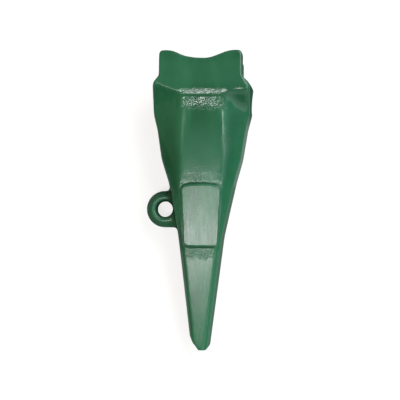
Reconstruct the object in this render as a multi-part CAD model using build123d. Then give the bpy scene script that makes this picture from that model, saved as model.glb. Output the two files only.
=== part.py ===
from build123d import *
import os
from math import hypot, radians, tan

# Driving dimensions, in millimetres and degrees
# X runs from the crown (lifting eye) side to the belly side, Y from tip to mouth, Z across the tooth's width
# The origin is where the lock pin's axis crosses the middle of the socket

# Ears, the two tongues behind the mouth
ear_end = 70.0
ear_half_height = 67.2
ear_corner = 6.0
ear_outside = 61.0
ear_thickness = 20.0
ear_gap = 2 * (ear_outside - ear_thickness)
scallop_depth = 11.2
scallop_half_span = 47.0
scallop_crest_handle = 30.0
scallop_dip_handle = 22.0
mouth_y = 31.0

# Side profile of the body, each station as its place along Y and its half height in X
flank_top_y = 33.0
shoulder_y = 21.5
shoulder_half = 78.2
boss_front_y = -20.0
boss_front_half = 76.2
boss_foot_y = -43.0
boss_foot_half = 70.4
waist_y = -89.0
waist_half = 63.2
neck_y = -125.0
neck_half = 51.4
neck_belly_half = 53.4
nose_y = -206.0
nose_half = 35.9
tip_y = -378.8
tip_shoulder_half = 15.6
crown_bevel_length = 22.0
belly_bevel_length = 7.5
edge_crown_x = -1.8
edge_belly_x = 10.5

# Rounds of the side profile
flank_round = 8.0
shoulder_round = 12.0
boss_front_round = 40.0
boss_foot_round = 30.0
waist_round = 60.0
neck_round = 90.0
nose_round = 150.0
tip_round = 1.5

# Side faces, tapering from the mouth to the tip, with a rib between two sloping facets
pad_rise = 6.0
face_half_width = ear_outside - pad_rise
face_taper = 4.6
rib_shift = 1.8
rib_root_y = -10.0
rib_root_half = 30.0
rib_waist_y = -100.0
rib_waist_half = 37.0
facet_drop = 22.0
bevel_nose_half = 25.5
bevel_tip_half = 5.5
bevel_lean = 33.0

# Raised pad that carries each ear
pad_front_y = 9.0
pad_corner_x = 36.0
pad_crown_sweep = 14.0
pad_belly_sweep = 3.0
pad_front_lean = 50.0

# Raised name panel on each side face
panel_top_y = -128.0
panel_bottom_y = -222.5
panel_top_half = 30.5
panel_bottom_half = 25.5
panel_shift = 1.0
panel_rise = 3.0
panel_arch = 4.0
panel_corner = 7.0
panel_round = 2.0

# Lifting eye
eye_x = -57.0
eye_y = -165.2
eye_radius = 28.0
eye_bore = 12.2
eye_thickness = 24.0
eye_edge_round = 7.0
eye_rim_round = 3.0
eye_root_round = 5.0

# Socket for the adapter nose, and the lock pin's bore
socket_mouth_half_height = 59.0
socket_end_y = -150.0
socket_end_half_height = 24.0
socket_end_half_width = 25.0
socket_corner = 16.0
socket_floor_round = 8.0
pin_bore = 15.0
pin_rim_round = 2.0

# Extra length of blocks and cuts that run past the tooth
margin = 12.0

# Rounds of the cast edges
rib_round = 9.0
pad_round = 8.0
pad_turn_round = 30.0
foot_round = 12.0


def face_z(y):
    """Height of the rib's face above the middle plane at a place along the tooth."""
    return face_half_width + y * tan(radians(face_taper))


def half_profile(side, neck, edge_x, bevel_length):
    """Corners of the side profile on one side, from the ear to the tip, each with its round."""
    return [
        (side * ear_half_height, ear_end, ear_corner),
        (side * ear_half_height, flank_top_y, flank_round),
        (side * shoulder_half, shoulder_y, shoulder_round),
        (side * boss_front_half, boss_front_y, boss_front_round),
        (side * boss_foot_half, boss_foot_y, boss_foot_round),
        (side * waist_half, waist_y, waist_round),
        (side * neck, neck_y, neck_round),
        (side * nose_half, nose_y, nose_round),
        (side * tip_shoulder_half, tip_y + bevel_length, tip_round),
        (edge_x, tip_y, tip_round),
    ]


def side_profile():
    belly = half_profile(1, neck_belly_half, edge_belly_x, belly_bevel_length)
    crown = half_profile(-1, neck_half, edge_crown_x, crown_bevel_length)
    corners = belly + crown[::-1]
    outline = FilletPolyline(
        *[(x, y) for x, y, _ in corners], radius=[r for _, _, r in corners], close=True
    )
    return make_face(outline)


def plane_through(a, b, c):
    """Plane on three points, its normal on the outer side of the tooth."""
    across = Vector(*b) - Vector(*a)
    along = Vector(*c) - Vector(*a)
    normal = across.cross(along)
    if normal.Z < 0:
        normal = normal * -1
    return Plane(origin=a, x_dir=across, z_dir=normal)


def face_plane():
    return plane_through((0, 0, face_z(0)), (1, 0, face_z(0)), (0, tip_y, face_z(tip_y)))


def facet_plane(side):
    """Slope from the rib down to the wall, behind the neck."""
    rib_root = (rib_shift + side * rib_root_half, rib_root_y, face_z(rib_root_y))
    rib_waist = (rib_shift + side * rib_waist_half, rib_waist_y, face_z(rib_waist_y))
    wall_root = (side * shoulder_half, rib_root_y, face_half_width - facet_drop)
    return plane_through(rib_root, rib_waist, wall_root)


def bevel_plane(side):
    """Bevel along the nose, between its face and its wall."""
    top = (side * bevel_nose_half, nose_y, face_z(nose_y))
    end = (side * bevel_tip_half, tip_y, face_z(tip_y))
    low = (side * (bevel_nose_half + 1), nose_y, face_z(nose_y) - tan(radians(bevel_lean)))
    return plane_through(top, end, low)


def pad_plane(side, sweep):
    """Leaning front of the ear pad, swept back on each side of the rib."""
    reach = side or 1
    corner = (side * pad_corner_x, pad_front_y, ear_outside)
    out = (reach * shoulder_half, pad_front_y + sweep, ear_outside)
    foot = (side * pad_corner_x, pad_front_y - tan(radians(pad_front_lean)), ear_outside - 1)
    return plane_through(corner, out, foot)


def mirrored(plane):
    def flip(v):
        return Vector(v.X, v.Y, -v.Z)
    return Plane(origin=flip(plane.origin), x_dir=flip(plane.x_dir), z_dir=flip(plane.z_dir))


def cut_to(solid, planes):
    """Keeps what lies inside every plane and inside its mirror image."""
    for plane in planes:
        solid = split(solid, bisect_by=plane, keep=Keep.BOTTOM)
        solid = split(solid, bisect_by=mirrored(plane), keep=Keep.BOTTOM)
    return solid


def edges_between(solid, first, second):
    """Edges that lie on two planes at once, on either side of the tooth."""
    found = []
    for one, other in ((first, second), (mirrored(first), mirrored(second))):
        for edge in solid.edges():
            spots = [edge @ t for t in (0, 0.5, 1)]
            gaps = [abs(p.to_local_coords(s).Z) for p in (one, other) for s in spots]
            if max(gaps) < 0.01:
                found.append(edge)
    return found


def lies_on(edge, plane):
    return max(abs(plane.to_local_coords(edge @ t).Z) for t in (0, 0.5, 1)) < 0.01


def stock(rear, front, half_width):
    """Block past the side profile on both sides, between two places along the tooth."""
    block = Box(2 * (shoulder_half + margin), rear - front, 2 * half_width)
    return Pos(0, (rear + front) / 2, 0) * block


def tapered_core():
    """Rib, facets and nose bevels on both sides, with the rib's edges rounded."""
    core = cut_to(stock(flank_top_y, tip_y - 1, ear_outside + margin), [face] + facets + bevels)
    ribs = [e for plane in facets + bevels for e in edges_between(core, face, plane)]
    return fillet(ribs, rib_round)


def ear_pads():
    """Full width block at the rear, with a leaning rounded front."""
    pads = cut_to(stock(ear_end + margin, waist_y, ear_outside), pad_fronts)
    turns = [e for plane in pad_fronts[1:] for e in edges_between(pads, pad_fronts[0], plane)]
    pads = fillet(turns, pad_turn_round)
    outside = Plane((0, 0, ear_outside))
    rims = [
        e
        for e in pads.edges()
        if lies_on(e, outside) or lies_on(e, mirrored(outside))
        if (e @ 0.5).Y < ear_end and abs((e @ 0.5).X) < shoulder_half + margin - 1
    ]
    return fillet(rims, pad_round)


def near_pad_front(edge):
    """Whether an edge follows the pads' front from end to end, its turns included."""
    fronts = [q for plane in pad_fronts for q in (plane, mirrored(plane))]
    gaps = [min(abs(q.to_local_coords(edge @ t).Z) for q in fronts) for t in (0, 0.5, 1)]
    return max(gaps) < 2.0


def side_faces():
    """Core and pads together, with the valley between them rounded."""
    solid = tapered_core() + ear_pads()
    valley = [
        e
        for e in solid.edges()
        if len(e.vertices()) == 2 and near_pad_front(e)
        if abs((e @ 0).X - (e @ 1).X) > 2 and abs((e @ 0.5).X) < shoulder_half + margin - 1
        if abs((e @ 0.5).Z) < ear_outside - pad_round
    ]
    return fillet(valley, foot_round)


def side_slab():
    """The side profile, drawn in plan, as thick as the ear pads."""
    return extrude(side_profile(), amount=ear_outside, both=True)


def name_panel():
    """Raised panel on the near side face, its top edge arched, its corners and rim rounded."""
    top = panel_top_y - nose_y
    bottom = panel_bottom_y - nose_y
    top_crown = (panel_shift - panel_top_half, top)
    top_belly = (panel_shift + panel_top_half, top)
    bottom_crown = (panel_shift - panel_bottom_half, bottom)
    bottom_belly = (panel_shift + panel_bottom_half, bottom)
    sides = Polyline(top_crown, bottom_crown, bottom_belly, top_belly)
    arch = SagittaArc(top_crown, top_belly, panel_arch)
    outline = make_face([sides, arch])
    outline = fillet(outline.vertices(), panel_corner)
    seat = Plane(origin=(0, nose_y, face_z(nose_y)), x_dir=(1, 0, 0), z_dir=face.z_dir)
    panel = extrude(seat * outline, amount=panel_rise) + extrude(seat * outline, amount=-panel_rise)
    rim = [e for e in panel.edges() if lies_on(e, seat.offset(panel_rise))]
    return fillet(rim, panel_round)


def lifting_eye():
    """Ring at the crown side with its lug into the body, rounded all over."""
    ring = Circle(eye_radius)
    lug = Pos(eye_radius, 0) * Rectangle(2 * eye_radius, 2 * eye_radius)
    shape = extrude(Pos(eye_x, eye_y) * (ring + lug), amount=eye_thickness / 2, both=True)
    rim = [e for e in shape.edges() if abs((e @ 0.5).Z) > eye_thickness / 2 - 0.01]
    rim = [e for e in rim if (e @ 0.5).X < eye_x + 2 * eye_radius - 1]
    return fillet(rim, eye_edge_round)


def round_eye_root(solid):
    """Rounds the valley where the eye grows out of the crown wall."""
    neck = (-neck_half, neck_y, 0)
    nose = (-nose_half, nose_y, 0)
    wall = plane_through(neck, nose, (-neck_half, neck_y, 1))
    reach = eye_radius + 1
    root = [
        e
        for e in solid.edges()
        if lies_on(e, wall) and abs((e @ 0.5).Z) < eye_thickness / 2 + 1
        if abs((e @ 0.5).Y - eye_y) < reach
    ]
    return fillet(root, eye_root_round)


def eye_hole():
    return Pos(eye_x, eye_y) * Cylinder(eye_bore, 2 * eye_thickness)


def around_pin(edge):
    """Whether an edge runs round the pin bore where it leaves a boss."""
    spots = [edge @ t for t in (0, 0.3, 0.6, 0.9)]
    on_bore = all(abs(hypot(s.Y, s.Z) - pin_bore) < 0.01 for s in spots)
    return on_bore and abs(spots[0].X - spots[2].X) < 2 and abs(spots[0].X) > boss_foot_half


def round_hole_rims(solid):
    """Rounds the two mouths of the eye's hole and the outer mouths of the pin bore."""
    circles = [e for e in solid.edges() if e.geom_type == GeomType.CIRCLE]
    eye_rims = [e for e in circles if abs(e.radius - eye_bore) < 0.001]
    solid = fillet(eye_rims, eye_rim_round)
    return fillet([e for e in solid.edges() if around_pin(e)], pin_rim_round)


def socket():
    """Tapered hollow for the adapter nose, open at the mouth."""
    run = mouth_y - socket_end_y
    reach = (ear_end + margin - socket_end_y) / run
    half_height = socket_end_half_height + (socket_mouth_half_height - socket_end_half_height) * reach
    half_width = socket_end_half_width + (ear_gap / 2 - socket_end_half_width) * reach
    floor = Plane(origin=(0, socket_end_y, 0), x_dir=(1, 0, 0), z_dir=(0, 1, 0))
    end = floor * RectangleRounded(
        2 * socket_end_half_height, 2 * socket_end_half_width, socket_corner
    )
    rear = floor.offset(run * reach) * RectangleRounded(2 * half_height, 2 * half_width, socket_corner)
    hollow = loft([end, rear])
    bottom = [e for e in hollow.edges() if lies_on(e, floor)]
    return fillet(bottom, socket_floor_round)


def mouth():
    """Clears the space between the ears, down to the rear ends of the crown and belly walls."""
    length = ear_end + margin - mouth_y
    gap = Box(4 * shoulder_half, length, ear_gap)
    return Pos(0, mouth_y + length / 2, 0) * gap


def scallop():
    """Wave cut into the rear end of both ears."""
    dip = ear_end - scallop_depth
    start = (scallop_half_span, ear_end)
    belly = Bezier(
        start, (scallop_crest_handle, ear_end), (scallop_dip_handle, dip), (0, dip)
    )
    crown = mirror(belly, Plane.YZ)
    back = Polyline(
        start, (scallop_half_span, ear_end + margin),
        (-scallop_half_span, ear_end + margin), (-scallop_half_span, ear_end),
    )
    return extrude(make_face([belly, crown, back]), amount=2 * ear_outside, both=True)


def pin_hole():
    return Rot(0, 90, 0) * Cylinder(pin_bore, 4 * shoulder_half)


face = face_plane()
facets = [facet_plane(1), facet_plane(-1)]
bevels = [bevel_plane(1), bevel_plane(-1)]
pad_fronts = [pad_plane(0, 0), pad_plane(1, pad_belly_sweep), pad_plane(-1, pad_crown_sweep)]

tooth = side_slab() & side_faces()
panel = name_panel()
tooth = round_eye_root(tooth + panel + mirror(panel, Plane.XY) + lifting_eye())
tooth = tooth - socket() - mouth() - scallop() - pin_hole() - eye_hole()
tooth = round_hole_rims(tooth)

os.makedirs("parts", exist_ok=True)
export_step(tooth, "parts/tooth.step")
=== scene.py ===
import math

import bmesh
import bpy
from mathutils import Matrix, Vector, noise


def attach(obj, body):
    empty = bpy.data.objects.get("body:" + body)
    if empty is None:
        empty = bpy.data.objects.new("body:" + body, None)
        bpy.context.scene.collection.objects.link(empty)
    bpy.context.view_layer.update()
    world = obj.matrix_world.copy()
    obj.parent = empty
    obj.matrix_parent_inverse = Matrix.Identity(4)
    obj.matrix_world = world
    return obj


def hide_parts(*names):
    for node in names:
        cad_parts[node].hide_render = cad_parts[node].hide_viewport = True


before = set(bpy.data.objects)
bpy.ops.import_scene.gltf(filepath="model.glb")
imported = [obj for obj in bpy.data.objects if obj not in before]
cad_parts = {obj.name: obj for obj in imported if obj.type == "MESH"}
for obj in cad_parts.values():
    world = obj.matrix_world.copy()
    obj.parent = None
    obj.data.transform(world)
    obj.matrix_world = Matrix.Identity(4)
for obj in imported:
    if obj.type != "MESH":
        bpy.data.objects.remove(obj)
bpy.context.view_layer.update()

# The tooth's own sizes, in metres, as in the CAD source
FACE_HALF_WIDTH = 0.055
FACE_TAPER = math.radians(4.6)
EAR_OUTSIDE = 0.061
PAD_FRONT_Y = 0.009
PANEL_TOP_Y = -0.128
PANEL_BOTTOM_Y = -0.2225
PANEL_TOP_HALF = 0.0305
PANEL_BOTTOM_HALF = 0.0255
PANEL_SHIFT = 0.001
PANEL_ARCH = 0.004
PANEL_CORNER = 0.007
PANEL_RISE = 0.003
NOSE_Y = -0.206
NOSE_HALF = 0.0255
NOSE_TAPER = 0.1157
EYE_X = -0.057
EYE_Y = -0.1652

# Places chosen here: the rib's edges below the pads and its upper end, the stretch of the nose
# that is widened, and the radius of the eye ring's crest and the half width of its crown
RIB_LEFT_X = -0.0285
RIB_RIGHT_X = 0.032
RIB_TOP_Y = -0.020
NOSE_START_Y = -0.229
NOSE_END_Y = -0.370
EYE_RING = 0.018
EYE_RING_HALF = 0.0062

# Half height of the walls at places along the tooth, from the tip to the ears
WALL_PLACES = (-0.3788, -0.3713, -0.206, -0.125, -0.089, -0.043, -0.020, 0.0215, 0.033, 0.070)
WALL_HALVES = (0.013, 0.0156, 0.0359, 0.0524, 0.0632, 0.0704, 0.0762, 0.0782, 0.0672, 0.0672)

# Draft of the walls, and how sharply it fades towards the middle of the side faces
WALL_DRAFT = math.radians(5.0)
DRAFT_POWER = 4

# The ears' shift towards the crown side, where it and their crowned ends set in, and the
# middle, half width and height of each crown or dip across the ears
EAR_SHIFT = -0.0016
EAR_ROOT = (0.020, 0.036)
EAR_END = (0.046, 0.058)
EAR_CROWNS = (
    (-0.052, 0.014, 0.0010),
    (-0.028, 0.016, -0.0013),
    (-0.004, 0.020, 0.0008),
    (0.053, 0.020, 0.0015),
)

# Slope of the pad's front over the rib, in degrees, at places along the tooth: a broad crest,
# a steep step, and a hollow ramp down to the rib
PAD_SLOPES = (
    (0.0150, 0.0),
    (0.0136, 10.0),
    (0.0051, 15.0),
    (0.0042, 30.0),
    (0.0029, 30.0),
    (0.0010, 14.5),
    (-0.0125, 10.8),
    (-0.0155, 4.6),
)
PAD_BACK_Y = PAD_SLOPES[0][0]
PAD_FOOT_Y = PAD_SLOPES[-1][0]

# How far the pad's front runs on beside the rib, how far inside the rib's edges it is whole, and
# its softness along the tooth
PAD_FADE_LEFT = 0.010
PAD_FADE_RIGHT = 0.016
PAD_INSET = 0.002
PAD_SOFT = 0.002

# The rib's slow rise, its slope down to the name panel, where that slope levels out, and the
# stretch of the rib that both may change
RIB_END_Y = -0.113
RIB_END_RISE = 0.00035
BAND_END_Y = -0.1275
BAND_DIP = 0.0001
BAND_LEVEL = 1.6
RIB_LAST_Y = -0.140
RIB_MARGIN = 0.002

# Depth under a side face below which nothing is reshaped, and depths at which the skin of the
# nose, the rib and the name panel starts to count as their face and at which it fully does
FACE_SKIN = 0.008
NOSE_SKIN = (0.009, 0.007)
RIB_SKIN = (0.003, 0.001)
PANEL_SKIN = (0.0016, 0.0006)

# Reach of the side faces and of the name panel to each side, the panel's room along the tooth,
# its rounded edge and the rounding of the nose's edges
FACE_REACH = 0.055
PANEL_REACH = 0.0325
PANEL_MARGIN = 0.006
PANEL_EDGE = (-0.0012, 0.0014)
NOSE_EDGE_ROUND = 0.0027

# Softness of the borders of the reshaped stretches
NOSE_SOFT = 0.004
PANEL_SOFT_Y = 0.002
PANEL_SOFT_X = 0.001
RIB_SOFT_Y = 0.003
RIB_SOFT_X = 0.004

# The lifting eye's full section: its depth and fullness, and where it fades along the lug,
# towards the middle plane and beyond the ring
EYE_CROWN = 0.0050
EYE_FULLNESS = 0.92
EYE_LUG = (0.040, 0.052)
EYE_DEPTH = (0.004, 0.011)
EYE_REACH = (0.026, 0.029)

# The cast skin: its grid, how often it is smoothed, and the waves of the sand mould
MERGE_GAP = 1e-6
VOXEL = 0.00166
SOFTEN_STEPS = 5
SOFTEN_FACTOR = 0.5
ZONE_STEPS = 150
EDGE_STEPS = 120
LEAST_WEIGHT = 0.01
SWELL_DEPTH = 0.00012
SWELL_LENGTH = 0.022
SWELL_DRAW = 0.4
SWELL_FINER = 2.3
SWELL_WEAKER = 0.5

# Softened stretches of the skin: from, to and softness along the tooth and across it, and
# heights above the middle plane between which the softening sets in
PAD_SIDE_Y = (-0.024, 0.024, 0.006)
PAD_SIDE_X = (0.042, 0.070, 0.008)
PAD_SIDE_Z = (0.030, 0.040)
RIB_EDGE_Y = (-0.125, 0.0, 0.004)
RIB_EDGE_LEFT = (-0.042, -0.020, 0.004)
RIB_EDGE_RIGHT = (0.025, 0.047, 0.004)
RIB_EDGE_Z = (0.030, 0.036)

# Marks on the skin: the bulge at which a spot starts to count as a crest or a hollow and at which
# it fully does, the normal's height at which it is wholly a wall and at which it no longer is, on
# the body and on the lifting eye, and how often the marks are evened out
CREST_BULGE = (0.02, 0.14)
HOLLOW_BULGE = (0.015, 0.10)
WALL_UPRIGHT = (0.2, 0.6)
EYE_UPRIGHT = (0.35, 0.93)
EYE_SIDE_X = -0.038
EYE_SPAN_Y = (-0.194, -0.137)
BULGE_SPREAD = 3
WALL_SPREAD = 2

# The enamel's greens: two tones mixed at random, a light green for painted highlights and painted
# light, and a dark green for painted shade
GREEN_DEEP = (0.010, 0.100, 0.043, 1.0)
GREEN_LIGHT = (0.020, 0.150, 0.068, 1.0)
GREEN_PAINTED_LIGHT = (0.040, 0.180, 0.100, 1.0)
GREEN_PAINTED_SHADE = (0.003, 0.030, 0.014, 1.0)

# Places of the enamel: from, to and softness along the tooth, then the same across it
RIB_FOOT = ((-0.0175, 0.000, 0.002), (-0.030, 0.033, 0.003))
RIDGE = ((0.003, 0.014, 0.002), (-0.036, 0.034, 0.006))
PANEL_HEAD = ((-0.126, -0.113, 0.002), (-0.033, 0.035, 0.003))
PANEL_FOOT = ((-0.240, -0.2245, 0.002), (-0.024, 0.027, 0.003))
RIB_RIGHT = ((-0.110, -0.055, 0.012), (0.030, 0.046, 0.004))
RIB_LOW = ((-0.112, -0.050, 0.030), (-0.030, 0.033, 0.004))
PANEL_PLATE = ((-0.223, -0.130, 0.003), (-0.030, 0.032, 0.003))

# Stretches along the tooth of the painted light on the ears and of the painted shade on the left
# facet, and the softness of the stretch of painted shade on the eye
EARS_Y = (0.018, 0.058, 0.010)
LEFT_FACET_Y = (-0.150, -0.020, 0.020)
EYE_SOFT = 0.003

# Soft borders of places that end on one side only
LEFT_FACET_X = (-0.040, -0.030)
EYE_EDGE_X = (-0.052, -0.042)
LEFT_WALL_X = (-0.02, 0.0)
NOSE_FROM_Y = (-0.134, -0.126)
PAD_WALL_Y = (-0.045, -0.015)

# Patterns of the enamel: cells per metre, how far they are drawn out along the tooth, how far
# they push ragged borders about, and the stretch of each pattern that is used
RAGGED_SCALE = 150.0
BROAD_SCALE = 26.0
STREAK_SCALE = 260.0
SAND_SCALE = 700.0
FINE_SCALE = 620.0
LUMP_SCALE = 110.0
BROAD_DRAW = 0.35
STREAK_DRAW = 0.12
RAGGED_ALONG = 0.012
RAGGED_ACROSS = 0.016
GREEN_SPREAD = (0.35, 0.65)
GLOSS_SPREAD = (0.3, 0.7)
SAND_SPREAD = (0.38, 0.62)

# How strongly painted light and painted shade are laid on in their places, and how dull the walls are
# left
CREST_PAINTED_HIGHLIGHT = 0.55
RIB_PAINTED_LIGHT = 0.48
EARS_PAINTED_LIGHT = 0.30
HOLLOW_PAINTED_SHADE = 0.75
FACET_PAINTED_SHADE = 0.22
WALL_PAINTED_SHADE = 0.5
EYE_PAINTED_SHADE = 0.42
WALL_DULL = 0.85

# How sandy the patched places are, and the bump's share for each pattern, there and all over
SAND_RIDGE = 0.28
SAND_RIB_RIGHT = 0.15
SAND_PANEL_HEAD = 0.45
SAND_PANEL_FOOT = 0.35
BUMP_SAND = 0.165
BUMP_SAND_ALL = 0.012
BUMP_FINE_NOSE = 0.03
BUMP_FINE_ALL = 0.03
BUMP_STREAKS = 0.07
BUMP_STREAKS_ALL = 0.01
BUMP_LUMPS = 0.2
BUMP_DEPTH = 0.0011

# Roughness of the enamel, and what the nose and the other places add to it
ENAMEL_IOR = 1.5
ROUGH_ALL = (0.13, 0.16)
ROUGH_NOSE = (0.092, 0.124)
ROUGH_WALL = 0.40
ROUGH_NOSE_WALL = 0.1
ROUGH_RIDGE = 0.02
ROUGH_RIB_RIGHT = 0.05
ROUGH_PANEL_HEAD = 0.07

# Camera, from the tooth's outline in the photograph
IMAGE_WIDTH = 400
FOCAL_PIXELS = 975.0
SENSOR_WIDTH = 36.0
CLIP_END = 50.0
CAMERA_AT = (0.090, -0.226, 1.5)
CAMERA_AIM = (-0.00302, -0.15045, 0.0)
CAMERA_ROLL = -0.013

# The floor, whose glow only the camera, mirrors and glass see
FLOOR_SIZE = 30.0
FLOOR_GREY = (0.36, 0.36, 0.36, 1.0)
FLOOR_ROUGHNESS = 0.9
FLOOR_GLOW = 0.76
WHITE = (1.0, 1.0, 1.0)

# The room's colour on the left, on the right and in its soft window, how these blend over the
# directions, and the room's strength below eye level
ROOM_LEFT = (0.32, 0.18, 0.10, 1.0)
ROOM_RIGHT = (0.34, 0.42, 0.46, 1.0)
ROOM_WINDOW = (0.9, 1.5, 1.35, 1.0)
ROOM_BLEND = (-0.7, 0.7)
WINDOW_NEAR_EDGE = (0.22, 0.50)
WINDOW_FAR_EDGE = (0.50, 0.84)
WINDOW_FOOT = (0.4, 0.8)
ROOM_RISE = (0.0, 0.7)
ROOM_LOW_STRENGTH = 0.35

# Lamps: name, place, aim along the tooth, width in metres, power in watts and colour. The key
# lamp stands where its gloss falls on the name panel, and the large ones, rear and front, where
# no flat face of the tooth mirrors them to the camera
LAMPS = (
    ("key", (-0.09, -0.43, 1.5), -0.21, 0.20, 4.3, WHITE),
    ("rear", (0.95, 0.90, 1.6), -0.15, 1.6, 20.0, WHITE),
    ("front", (0.9, -1.5, 1.3), -0.15, 1.8, 6.0, WHITE),
    ("spark", (0.60, -0.08, 1.45), -0.15, 0.14, 1.0, (0.85, 1.0, 0.95)),
    ("left", (-0.50, 0.05, 1.5), -0.15, 0.26, 0.5, WHITE),
    ("left_low", (-0.47, -0.47, 1.5), -0.15, 0.20, 0.8, WHITE),
)


def face_height(y):
    """Height of a side face above the middle plane at a place along the tooth."""
    return FACE_HALF_WIDTH + y * math.tan(FACE_TAPER)


def pick(thing):
    """Selects one object alone and makes it active."""
    bpy.ops.object.select_all(action="DESELECT")
    thing.select_set(True)
    bpy.context.view_layer.objects.active = thing


def copy_of_node(node, name):
    """A copy of a CAD solid with its loose triangles merged."""
    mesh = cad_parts[node].data.copy()
    piece = bpy.data.objects.new(name, mesh)
    bpy.context.scene.collection.objects.link(piece)
    mesh.materials.clear()
    pick(piece)
    bpy.ops.object.mode_set(mode="EDIT")
    bpy.ops.mesh.select_all(action="SELECT")
    bpy.ops.mesh.remove_doubles(threshold=MERGE_GAP)
    bpy.ops.object.mode_set(mode="OBJECT")
    return piece


def apply_modifier(piece, kind, **settings):
    """Adds a modifier to a piece and applies it."""
    modifier = piece.modifiers.new(kind.title(), kind)
    for key, value in settings.items():
        setattr(modifier, key, value)
    pick(piece)
    bpy.ops.object.modifier_apply(modifier=modifier.name)


def step(value, low, high):
    """Goes smoothly from 0 to 1 as a value goes from low to high."""
    part = min(1.0, max(0.0, (value - low) / (high - low)))
    return part * part * (3.0 - 2.0 * part)


def within(value, low, high, soft):
    """Is 1 between two values and 0 outside them, with soft borders."""
    return step(value, low - soft, low + soft) * step(-value, -high - soft, -high + soft)


def crest(value, middle, half):
    """Is 1 at a middle value and falls smoothly to 0 at half a width from it."""
    return 1.0 - step(abs(value - middle), 0.0, half)


def near_face(height, plane, skin):
    """Is 1 close to a side face and 0 below its skin."""
    return step(height, plane - skin[0], plane - skin[1])


def wall_half(y):
    """Half height of the walls at a place along the tooth."""
    for near, far, start, end in zip(WALL_PLACES, WALL_PLACES[1:], WALL_HALVES, WALL_HALVES[1:]):
        if y <= far:
            return start + (end - start) * max(0.0, (y - near) / (far - near))
    return WALL_HALVES[-1]


def move_verts(piece, rule):
    """Gives every vertex of a piece the place that a rule works out from its place and normal."""
    shape = bmesh.new()
    shape.from_mesh(piece.data)
    shape.normal_update()
    places = [rule(vert.co, vert.normal) for vert in shape.verts]
    for vert, place in zip(shape.verts, places):
        vert.co = place
    shape.to_mesh(piece.data)
    shape.free()


def lean_in(place, normal):
    """Leans the walls in from the mould's parting plane, so that the pattern draws."""
    share = min(1.0, abs(place.x) / wall_half(place.y)) ** DRAFT_POWER
    shift = share * abs(place.z) * math.tan(WALL_DRAFT)
    return Vector((place.x - math.copysign(shift, place.x), place.y, place.z))


def crown_ears(place, normal):
    """Gives the ears their rounded crowns and sets them a little towards the crown side."""
    aside = EAR_SHIFT * step(place.y, *EAR_ROOT)
    rise = sum(height * crest(place.x, middle, half) for middle, half, height in EAR_CROWNS)
    return Vector((place.x + aside, place.y + rise * step(place.y, *EAR_END), place.z))


def widen_nose(place, normal):
    """Draws the nose's flat faces out to their bevels, so that the edge between them is crisp."""
    share = within(place.y, NOSE_END_Y, NOSE_START_Y, NOSE_SOFT)
    share *= near_face(abs(place.z), face_height(place.y), NOSE_SKIN)
    aside = abs(place.x)
    rim = wall_half(place.y) - abs(place.z) * math.tan(WALL_DRAFT)
    if share == 0.0 or aside >= rim:
        return place.copy()
    edge = NOSE_HALF + (place.y - NOSE_Y) * NOSE_TAPER
    flat = edge - NOSE_EDGE_ROUND
    if aside < flat:
        wide = aside * edge / flat
    else:
        wide = edge + (aside - flat) * (rim - edge) / (rim - flat)
    return Vector((place.x + math.copysign(share * (wide - aside), place.x), place.y, place.z))


def round_eye(place, normal):
    """Rounds the lifting eye's flat faces into a ring with a full, soft section."""
    away = abs(math.hypot(place.x - EYE_X, place.y - EYE_Y) - EYE_RING) / EYE_RING_HALF
    share = step(-place.x, *EYE_LUG) * step(abs(place.z), *EYE_DEPTH)
    share *= 1.0 - step(abs(place.y - EYE_Y), *EYE_REACH)
    drop = share * EYE_CROWN * (1.0 - math.sqrt(1.0 - EYE_FULLNESS * min(1.0, away) ** 2))
    return Vector((place.x, place.y, place.z - math.copysign(drop, place.z)))


def pad_height(y):
    """Height of the pad's front over the rib, above the middle plane."""
    height = EAR_OUTSIDE
    for (start, first), (end, last) in zip(PAD_SLOPES, PAD_SLOPES[1:]):
        part = min(1.0, max(0.0, (start - y) / (start - end)))
        slope = math.radians(first + 0.5 * part * (last - first))
        height -= part * (start - end) * math.tan(slope)
    return height


def rib_rise(y):
    """Height that the rib gains towards its lower end, and its slope down to the name panel."""
    if y > RIB_END_Y:
        return RIB_END_RISE * step(y, RIB_TOP_Y, RIB_END_Y)
    fall = (RIB_END_Y - y) / (RIB_END_Y - BAND_END_Y)
    if fall < 1.0:
        return RIB_END_RISE - (RIB_END_RISE + BAND_DIP) * fall
    return -BAND_DIP * (1.0 - step(fall, 1.0, BAND_LEVEL))


def panel_share(x, y):
    """Is 1 on the name panel and 0 off it, with a soft edge."""
    aside = abs(x - PANEL_SHIFT)
    top = PANEL_TOP_Y - PANEL_ARCH * (aside / PANEL_TOP_HALF) ** 2
    middle = 0.5 * (top + PANEL_BOTTOM_Y)
    down = (PANEL_TOP_Y - y) / (PANEL_TOP_Y - PANEL_BOTTOM_Y)
    half = PANEL_TOP_HALF + (PANEL_BOTTOM_HALF - PANEL_TOP_HALF) * down
    over_x = max(0.0, aside - half + PANEL_CORNER)
    over_y = max(0.0, abs(y - middle) - (top - middle) + PANEL_CORNER)
    return 1.0 - step(math.hypot(over_x, over_y) - PANEL_CORNER, *PANEL_EDGE)


def pad_share(place):
    """Is 1 on the pad's front over the rib, and fades beside the rib."""
    left = step(place.x, RIB_LEFT_X - PAD_FADE_LEFT, RIB_LEFT_X + PAD_INSET)
    right = 1.0 - step(place.x, RIB_RIGHT_X - PAD_INSET, RIB_RIGHT_X + PAD_FADE_RIGHT)
    return left * right * within(place.y, PAD_FOOT_Y, PAD_BACK_Y + PAD_SOFT, PAD_SOFT)


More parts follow.
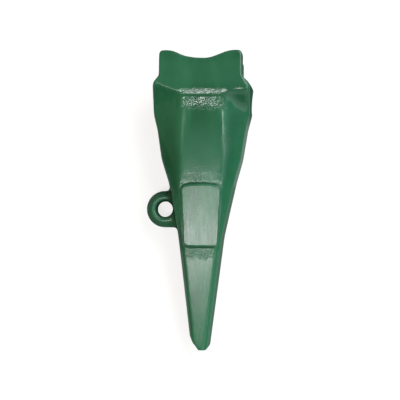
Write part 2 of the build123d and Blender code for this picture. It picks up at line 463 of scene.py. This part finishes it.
def shape_faces(place, normal):
    """Gives the pad's front, the rib's end and the name panel the crests and hollows of the casting."""
    plane = face_height(place.y)
    height = abs(place.z)
    if height < plane - FACE_SKIN or abs(place.x) > FACE_REACH:
        return place.copy()
    near_panel = within(place.y, PANEL_BOTTOM_Y - PANEL_MARGIN, PANEL_TOP_Y + PANEL_MARGIN, PANEL_SOFT_Y)
    near_panel *= within(place.x, PANEL_SHIFT - PANEL_REACH, PANEL_SHIFT + PANEL_REACH, PANEL_SOFT_X)
    near_panel *= near_face(height, plane, PANEL_SKIN)
    near_rib = within(place.x, RIB_LEFT_X - RIB_MARGIN, RIB_RIGHT_X + RIB_MARGIN, RIB_SOFT_X)
    near_rib *= within(place.y, RIB_LAST_Y, RIB_TOP_Y, RIB_SOFT_Y) * near_face(height, plane, RIB_SKIN)
    near_pad = pad_share(place)
    if near_pad > 0.0:
        height += near_pad * (pad_height(place.y) - height)
    if near_panel > 0.0 or near_rib > 0.0:
        share = panel_share(place.x, place.y)
        height += near_panel * (plane + PANEL_RISE * share - height)
        height += near_rib * (1.0 - share) * rib_rise(place.y)
    return Vector((place.x, place.y, math.copysign(height, place.z)))


def swell(place, normal):
    """Soft waves along the skin, as a sand mould leaves."""
    spot = Vector((place.x, place.y * SWELL_DRAW, place.z)) / SWELL_LENGTH
    wave = noise.noise(spot) + SWELL_WEAKER * noise.noise(spot * SWELL_FINER)
    return place + normal * wave * SWELL_DEPTH


def right_of_pad(place):
    """Weight of the pad's blunt front on the belly side."""
    near = within(place.y, *PAD_SIDE_Y) * within(place.x, *PAD_SIDE_X)
    return near * step(abs(place.z), *PAD_SIDE_Z)


def rib_edges(place):
    """Weight of the rib's two edges below the pads."""
    sides = within(place.x, *RIB_EDGE_LEFT) + within(place.x, *RIB_EDGE_RIGHT)
    return sides * within(place.y, *RIB_EDGE_Y) * step(abs(place.z), *RIB_EDGE_Z)


def soften_zone(piece, name, weigh, steps):
    """Smooths the skin further where a rule gives weight."""
    group = piece.vertex_groups.new(name=name)
    for vert in piece.data.vertices:
        weight = weigh(vert.co)
        if weight > LEAST_WEIGHT:
            group.add([vert.index], weight, "REPLACE")
    apply_modifier(piece, "SMOOTH", factor=SOFTEN_FACTOR, iterations=steps, vertex_group=name)


def spread(values, shape, steps):
    """Evens out one value per vertex over its neighbours."""
    rings = [[edge.other_vert(vert).index for edge in vert.link_edges] for vert in shape.verts]
    for _ in range(steps):
        means = [sum(values[near] for near in ring) / len(ring) for ring in rings]
        values = [0.5 * value + 0.5 * mean for value, mean in zip(values, means)]
    return values


def bulge(vert):
    """How far a vertex stands out of its neighbours, for the size of the grid."""
    around = [edge.other_vert(vert).co for edge in vert.link_edges]
    middle = sum(around, Vector()) / len(around)
    return (vert.co - middle).dot(vert.normal) / VOXEL


def steepness(vert):
    """Is 1 where the skin stands upright and 0 where it lies flat. The lifting eye counts sooner."""
    on_eye = vert.co.x < EYE_SIDE_X and EYE_SPAN_Y[0] < vert.co.y < EYE_SPAN_Y[1]
    limits = EYE_UPRIGHT if on_eye else WALL_UPRIGHT
    return 1.0 - step(abs(vert.normal.z), *limits)


def mark_skin(piece):
    """Stores where the skin bulges, where it is hollow and where it is a wall, for the material."""
    shape = bmesh.new()
    shape.from_mesh(piece.data)
    shape.normal_update()
    bulges = spread([bulge(vert) for vert in shape.verts], shape, BULGE_SPREAD)
    marks = {
        "crest": [step(value, *CREST_BULGE) for value in bulges],
        "hollow": [step(-value, *HOLLOW_BULGE) for value in bulges],
        "wall": spread([steepness(vert) for vert in shape.verts], shape, WALL_SPREAD),
    }
    shape.free()
    for name, values in marks.items():
        layer = piece.data.attributes.new(name, "FLOAT", "POINT")
        layer.data.foreach_set("value", values)


def cast_tooth():
    """The tooth with the draft, the soft edges and the skin of a casting."""
    piece = copy_of_node("tooth", "cast_tooth")
    apply_modifier(piece, "REMESH", mode="VOXEL", voxel_size=VOXEL, use_smooth_shade=True)
    move_verts(piece, lean_in)
    move_verts(piece, crown_ears)
    move_verts(piece, widen_nose)
    move_verts(piece, round_eye)
    apply_modifier(piece, "SMOOTH", factor=SOFTEN_FACTOR, iterations=SOFTEN_STEPS)
    soften_zone(piece, "pad_front", right_of_pad, ZONE_STEPS)
    soften_zone(piece, "rib_edges", rib_edges, EDGE_STEPS)
    move_verts(piece, shape_faces)
    move_verts(piece, swell)
    piece.vertex_groups.clear()
    mark_skin(piece)
    piece.data.shade_smooth()
    return piece


class Wire:
    """One output of a shader node. Arithmetic on it adds Math nodes."""

    def __init__(self, paint, socket):
        self.paint = paint
        self.socket = socket

    def math(self, operation, first, second, clamp=False):
        settings = {"operation": operation, "use_clamp": clamp}
        return self.paint.node("ShaderNodeMath", settings, {0: first, 1: second})

    def __add__(self, other):
        return self.math("ADD", self, other)

    def __sub__(self, other):
        return self.math("SUBTRACT", self, other)

    def __rsub__(self, other):
        return self.math("SUBTRACT", other, self)

    def __mul__(self, other):
        return self.math("MULTIPLY", self, other)

    __radd__ = __add__
    __rmul__ = __mul__

    def clamped(self):
        return self.math("ADD", self, 0.0, clamp=True)

    def beside(self, name):
        """Another output of the same node."""
        return Wire(self.paint, self.socket.node.outputs[name])

    def rise(self, low, high, start=0.0, end=1.0):
        """Goes smoothly from start to end as this value goes from low to high."""
        settings = {"interpolation_type": "SMOOTHSTEP"}
        sockets = {"Value": self, "From Min": low, "From Max": high, "To Min": start, "To Max": end}
        return self.paint.node("ShaderNodeMapRange", settings, sockets)

    def between(self, low, high, soft):
        """Is 1 between two values and 0 outside them, with soft borders."""
        return self.rise(low - soft, low + soft) * self.rise(high - soft, high + soft, 1.0, 0.0)


class Paint:
    """The node tree of a material or a world, and short ways to fill it."""

    def __init__(self, owner):
        owner.use_nodes = True
        self.owner = owner
        self.tree = owner.node_tree

    def node(self, kind, settings=None, sockets=None, output=0):
        made = self.tree.nodes.new(kind)
        for key, value in (settings or {}).items():
            setattr(made, key, value)
        for key, value in (sockets or {}).items():
            self.feed(made.inputs[key], value)
        return Wire(self, made.outputs[output])

    def feed(self, socket, value):
        if isinstance(value, Wire):
            self.tree.links.new(value.socket, socket)
        else:
            socket.default_value = value

    def set(self, node, **values):
        """Feeds sockets of a node that the tree already has."""
        for key, value in values.items():
            self.feed(self.tree.nodes[node].inputs[key.replace("_", " ")], value)

    def noise(self, place, scale, detail=2.0, roughness=0.5):
        sockets = {"Vector": place, "Scale": scale, "Detail": detail, "Roughness": roughness}
        return self.node("ShaderNodeTexNoise", {}, sockets)

    def stretched(self, place, along):
        """A place whose pattern is drawn out along the tooth."""
        return self.node("ShaderNodeMapping", {}, {"Vector": place, "Scale": (1.0, along, 1.0)})

    def mark(self, name):
        """One of the marks that the skin carries."""
        return self.node("ShaderNodeAttribute", {"attribute_name": name}, output="Fac")

    def mix(self, factor, first, second):
        sockets = {"Factor": factor, 6: first, 7: second}
        return self.node("ShaderNodeMix", {"data_type": "RGBA"}, sockets, output=2)

    def cover(self, factor, shader):
        """Lays another shader over the main one where the factor is 1."""
        main = Wire(self, self.tree.nodes["Principled BSDF"].outputs[0])
        mixed = self.node("ShaderNodeMixShader", {}, {0: factor, 1: main, 2: shader})
        self.set("Material Output", Surface=mixed)


class Skin:
    """Where the enamel's places and patterns lie on the tooth."""

    def __init__(self, paint):
        self.place = paint.node("ShaderNodeTexCoord", output="Object")
        self.across = paint.node("ShaderNodeSeparateXYZ", {}, {"Vector": self.place}, output="X")
        self.along = self.across.beside("Y")
        wobble = paint.noise(self.place, RAGGED_SCALE) - 0.5
        self.loose_along = self.along + wobble * RAGGED_ALONG
        self.loose_across = self.across + wobble * RAGGED_ACROSS
        self.broad = paint.noise(paint.stretched(self.place, BROAD_DRAW), BROAD_SCALE, detail=4.0)
        self.streaks = paint.noise(paint.stretched(self.place, STREAK_DRAW), STREAK_SCALE)
        self.wall = paint.mark("wall")
        self.ridge = self.loose(RIDGE)
        self.rib_right = self.loose(RIB_RIGHT)
        self.panel_head = self.loose(PANEL_HEAD)
        self.on_nose = self.along.rise(*NOSE_FROM_Y, 1.0, 0.0)

    def patch(self, box):
        """Is 1 on a stretch of the tooth, with even borders."""
        return self.along.between(*box[0]) * self.across.between(*box[1])

    def loose(self, box):
        """Is 1 on a stretch of the tooth, with ragged borders."""
        return self.loose_along.between(*box[0]) * self.loose_across.between(*box[1])


def enamel_green(paint, skin):
    """Green with painted highlights on crests, painted light on the rib's lower part and on the ears,
    and painted shade in hollows, on the left facet and on the walls.
    """
    left_facet = skin.along.between(*LEFT_FACET_Y) * skin.across.rise(*LEFT_FACET_X, 1.0, 0.0)
    on_eye = skin.across.rise(*EYE_EDGE_X, 1.0, 0.0) * skin.along.between(*EYE_SPAN_Y, EYE_SOFT)
    # Painted highlights on crests, and painted light on the rib's lower part and on the ears
    painted_light = paint.mark("crest") * CREST_PAINTED_HIGHLIGHT + skin.patch(RIB_LOW) * RIB_PAINTED_LIGHT
    painted_light = painted_light + skin.along.between(*EARS_Y) * EARS_PAINTED_LIGHT
    # Painted shade in hollows and on the left facet
    painted_shade = paint.mark("hollow") * HOLLOW_PAINTED_SHADE + left_facet * FACET_PAINTED_SHADE
    # Painted shade on the walls, stronger on the lifting eye
    shade = skin.wall * (on_eye * EYE_PAINTED_SHADE + WALL_PAINTED_SHADE)
    green = paint.mix(skin.broad.rise(*GREEN_SPREAD), GREEN_DEEP, GREEN_LIGHT)
    green = paint.mix(painted_light, green, GREEN_PAINTED_LIGHT)
    green = paint.mix(painted_shade, green, GREEN_PAINTED_SHADE)
    return paint.mix(shade, green, GREEN_PAINTED_SHADE)


def enamel_grain(paint, skin):
    """Bump of the sand-cast skin, strong where the mould was patched and streaked on the panel."""
    sand = paint.noise(skin.place, SAND_SCALE, detail=3.0, roughness=0.6).rise(*SAND_SPREAD) - 0.5
    fine = paint.noise(skin.place, FINE_SCALE, roughness=0.6) - 0.5
    lumps = paint.noise(skin.place, LUMP_SCALE, detail=1.0) - 0.5
    sandy = skin.loose(RIB_FOOT) + skin.ridge * SAND_RIDGE + skin.rib_right * SAND_RIB_RIGHT
    sandy = sandy + skin.panel_head * SAND_PANEL_HEAD + skin.loose(PANEL_FOOT) * SAND_PANEL_FOOT
    grain = sand * (sandy * BUMP_SAND + BUMP_SAND_ALL)
    grain = grain + fine * (skin.on_nose * BUMP_FINE_NOSE + BUMP_FINE_ALL)
    grain = grain + (skin.streaks - 0.5) * (skin.patch(PANEL_PLATE) * BUMP_STREAKS + BUMP_STREAKS_ALL)
    grain = grain + lumps * skin.ridge * BUMP_LUMPS
    return paint.node("ShaderNodeBump", {}, {"Strength": 1.0, "Distance": BUMP_DEPTH, "Height": grain})


def enamel_roughness(skin):
    """Roughness: glossy enamel, duller on the nose, on the grainy patches and on the walls."""
    rough = skin.broad.rise(*GLOSS_SPREAD, *ROUGH_ALL) + skin.wall * ROUGH_WALL
    nose = skin.streaks.rise(*GLOSS_SPREAD, *ROUGH_NOSE) + skin.wall * ROUGH_NOSE_WALL
    rough = rough + skin.on_nose * nose + skin.ridge * ROUGH_RIDGE
    return rough + skin.rib_right * ROUGH_RIB_RIGHT + skin.panel_head * ROUGH_PANEL_HEAD


def cast_enamel():
    """Deep green enamel over a cast skin, with walls left dull on the crown side and at the pads."""
    paint = Paint(bpy.data.materials.new("cast_enamel"))
    skin = Skin(paint)
    green = enamel_green(paint, skin)
    rough = enamel_roughness(skin)
    bump = enamel_grain(paint, skin)
    paint.set("Principled BSDF", Base_Color=green, Roughness=rough, Normal=bump, IOR=ENAMEL_IOR)
    look = {"Base Color": green, "Roughness": 1.0, "Specular IOR Level": 0.0}
    dull = paint.node("ShaderNodeBsdfPrincipled", {}, look)
    left_or_pad = (skin.across.rise(*LEFT_WALL_X, 1.0, 0.0) + skin.along.rise(*PAD_WALL_Y)).clamped()
    paint.cover(skin.wall * left_or_pad * WALL_DULL, dull)
    return paint.owner


def floor():
    """Pale floor that the tooth's far side rests on, from its ear pad to its name panel."""
    low_y = PANEL_BOTTOM_Y
    low_z = -(face_height(low_y) + PANEL_RISE)
    slope = (low_z + EAR_OUTSIDE) / (PAD_FRONT_Y - low_y)
    bpy.ops.object.select_all(action="DESELECT")
    bpy.ops.mesh.primitive_plane_add(size=FLOOR_SIZE)
    piece = bpy.context.active_object
    piece.name = "floor"
    piece.data.transform(Matrix.Rotation(-math.atan(slope), 4, "X"))
    piece.data.transform(Matrix.Translation((0, PAD_FRONT_Y, -EAR_OUTSIDE)))
    paint = Paint(bpy.data.materials.new("pale_floor"))
    seen = paint.node("ShaderNodeLightPath", output="Is Camera Ray")
    glow = (seen + seen.beside("Is Glossy Ray") + seen.beside("Is Transmission Ray")) * FLOOR_GLOW
    paint.set("Principled BSDF", Base_Color=FLOOR_GREY, Roughness=FLOOR_ROUGHNESS)
    paint.set("Principled BSDF", Emission_Color=(*WHITE, 1.0), Emission_Strength=glow)
    piece.data.materials.append(paint.owner)
    return piece


def room():
    """A dim room, warm on the left and cool on the right, with a soft window on the right."""
    world = bpy.data.worlds.new("studio")
    bpy.context.scene.world = world
    paint = Paint(world)
    look = paint.node("ShaderNodeTexCoord", output="Generated")
    aside = paint.node("ShaderNodeSeparateXYZ", {}, {"Vector": look}, output="X")
    height = aside.beside("Z")
    walls = paint.mix(aside.rise(*ROOM_BLEND), ROOM_LEFT, ROOM_RIGHT)
    window = aside.rise(*WINDOW_NEAR_EDGE) * aside.rise(*WINDOW_FAR_EDGE, 1.0, 0.0)
    window = window * height.rise(*WINDOW_FOOT)
    strength = height.rise(*ROOM_RISE, ROOM_LOW_STRENGTH, 1.0)
    paint.set("Background", Color=paint.mix(window, walls, ROOM_WINDOW), Strength=strength)


def lamps():
    """Soft round lamps, each turned to a place on the tooth."""
    for name, place, aim_y, width, power, colour in LAMPS:
        lamp = bpy.data.lights.new(name, "AREA")
        lamp.shape = "DISK"
        lamp.size = width
        lamp.energy = power
        lamp.color = colour
        holder = bpy.data.objects.new(name, lamp)
        holder.location = place
        beam = Vector((0.0, aim_y, 0.0)) - Vector(place)
        holder.rotation_euler = beam.to_track_quat("-Z", "Y").to_euler()
        bpy.context.scene.collection.objects.link(holder)


def camera():
    """Camera at the photograph's place, turned a little about its own axis."""
    lens = bpy.data.cameras.new("camera")
    lens.sensor_width = SENSOR_WIDTH
    lens.lens = FOCAL_PIXELS / IMAGE_WIDTH * SENSOR_WIDTH
    lens.clip_end = CLIP_END
    holder = bpy.data.objects.new("camera", lens)
    place = Vector(CAMERA_AT)
    forward = (Vector(CAMERA_AIM) - place).normalized()
    right = forward.cross(Vector((math.sin(CAMERA_ROLL), math.cos(CAMERA_ROLL), 0))).normalized()
    up = right.cross(forward)
    holder.matrix_world = Matrix.Translation(place) @ Matrix((right, up, -forward)).transposed().to_4x4()
    bpy.context.scene.collection.objects.link(holder)
    bpy.context.scene.camera = holder


tooth = cast_tooth()
tooth.data.materials.append(cast_enamel())
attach(tooth, "root")
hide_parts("tooth")

floor()
room()
lamps()
camera()
bpy.context.scene.view_settings.view_transform = "Standard"
